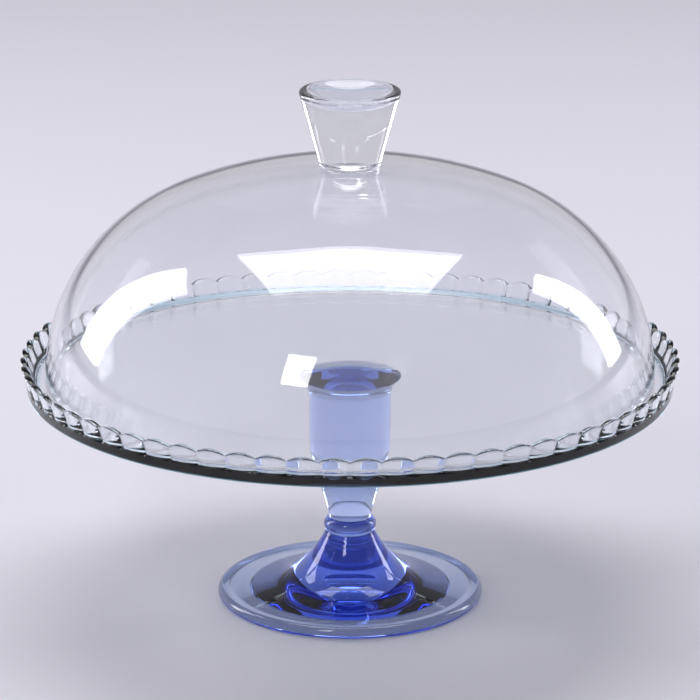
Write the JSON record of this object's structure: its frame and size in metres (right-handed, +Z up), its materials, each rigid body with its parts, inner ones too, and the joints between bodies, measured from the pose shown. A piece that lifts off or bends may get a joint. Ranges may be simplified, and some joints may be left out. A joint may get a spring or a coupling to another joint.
{
  "type": "footed cheese dome",
  "caption": "Clear glass cake and cheese stand: a fluted plate on a solid stem and round foot, under a lift-off dome with a cone-shaped knob.",
  "frame": {"origin": "centre of the foot's underside, on the surface that the stand rests on", "axes": "+Z up, along the common axis of the foot, stem, plate, dome and knob"},
  "size_m": [0.322, 0.322, 0.2577],
  "materials": {
    "foot_glass": "polished, faint blue tint",
    "stem_glass": "polished",
    "plate_glass": "polished, faint blue-green edge",
    "cover_glass": "polished"
  },
  "bodies": {
    "stand": {"foot": "foot_glass", "collar": "stem_glass", "stem": "stem_glass", "plate": "plate_glass"},
    "cover": {"dome": "cover_glass", "knob": "cover_glass"}
  },
  "joints": [
    {"name": "cover_lift", "type": "slide", "parent": "stand", "child": "cover", "axis": [0, 0, 1], "range_m": [0, 0.15]}
  ]
}
